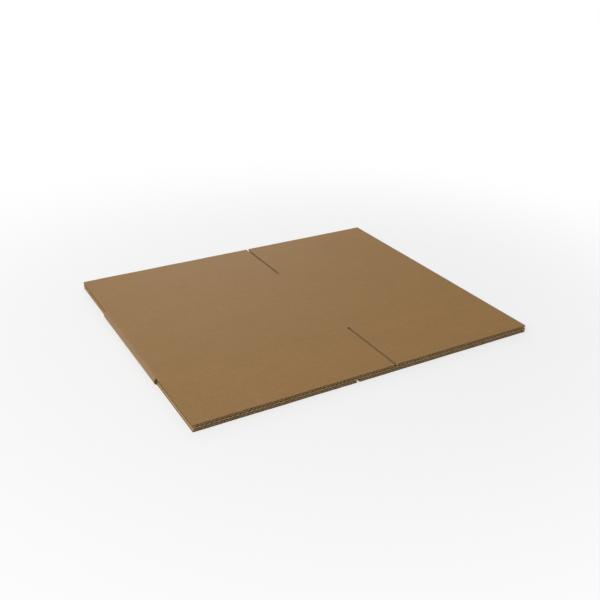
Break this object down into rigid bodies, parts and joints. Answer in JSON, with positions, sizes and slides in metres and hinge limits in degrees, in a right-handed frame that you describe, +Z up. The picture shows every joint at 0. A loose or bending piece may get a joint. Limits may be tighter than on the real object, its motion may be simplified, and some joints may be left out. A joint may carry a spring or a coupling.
{
  "type": "flattened cardboard box",
  "caption": "Slotted carton of kraft double-wall corrugated board, folded flat at two corners, glued at one, with scored flaps at both ends.",
  "frame": {"origin": "middle of the underside, where the flattened box rests", "axes": "+X across the panels from fold to fold, +Y along the flutes from one flap end to the other, +Z up through the two layers of board"},
  "size_m": [0.675, 0.568, 0.0136],
  "materials": {
    "kraft_board": "uncoated brown kraft liner, matt, slightly fibrous"
  },
  "bodies": {
    "blank": {"folded_blank": "kraft_board"},
    "long_flap_front": {"long_flap_front": "kraft_board"},
    "long_flap_back": {"long_flap_back": "kraft_board"},
    "short_flap_front": {"short_flap_front": "kraft_board"},
    "short_flap_back": {"short_flap_back": "kraft_board"}
  },
  "joints": [
    {"name": "long_flap_front_score", "type": "hinge", "parent": "blank", "child": "long_flap_front", "pos_m": [-0.14875, -0.134, 0.0131], "axis": [-1, 0, 0], "range_deg": [0, 135]},
    {"name": "long_flap_back_score", "type": "hinge", "parent": "blank", "child": "long_flap_back", "pos_m": [-0.14875, 0.134, 0.0131], "axis": [1, 0, 0], "range_deg": [0, 135]},
    {"name": "short_flap_front_score", "type": "hinge", "parent": "blank", "child": "short_flap_front", "pos_m": [0.18625, -0.134, 0.0131], "axis": [-1, 0, 0], "range_deg": [0, 135]},
    {"name": "short_flap_back_score", "type": "hinge", "parent": "blank", "child": "short_flap_back", "pos_m": [0.18625, 0.134, 0.0131], "axis": [1, 0, 0], "range_deg": [0, 135]}
  ]
}
